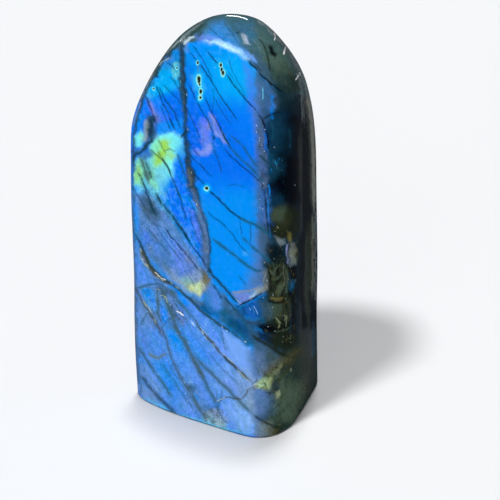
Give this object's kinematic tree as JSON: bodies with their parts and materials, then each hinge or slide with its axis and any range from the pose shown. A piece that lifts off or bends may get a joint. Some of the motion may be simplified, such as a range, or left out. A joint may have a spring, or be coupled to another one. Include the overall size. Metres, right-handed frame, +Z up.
{
  "type": "polished labradorite freeform",
  "caption": "Free-standing polished labradorite freeform: a tall stone with a broad flat front, rounded corners, a domed top and a flat saw-cut base that it stands on.",
  "frame": {"origin": "under the middle of the stone's bounding box, on the flat cut that it stands on", "axes": "+Z up along the stone's height, -Y the way the broad front face looks, +X to the right seen from the front"},
  "size_m": [0.0516, 0.043, 0.12],
  "materials": {
    "polished_labradorite": "high lapidary polish over grey-green feldspar with vivid blue flash, dark cleavage lines, small black pits and olive and lilac patches"
  },
  "bodies": {
    "root": {"labradorite_freeform": "polished_labradorite"}
  },
  "joints": []
}
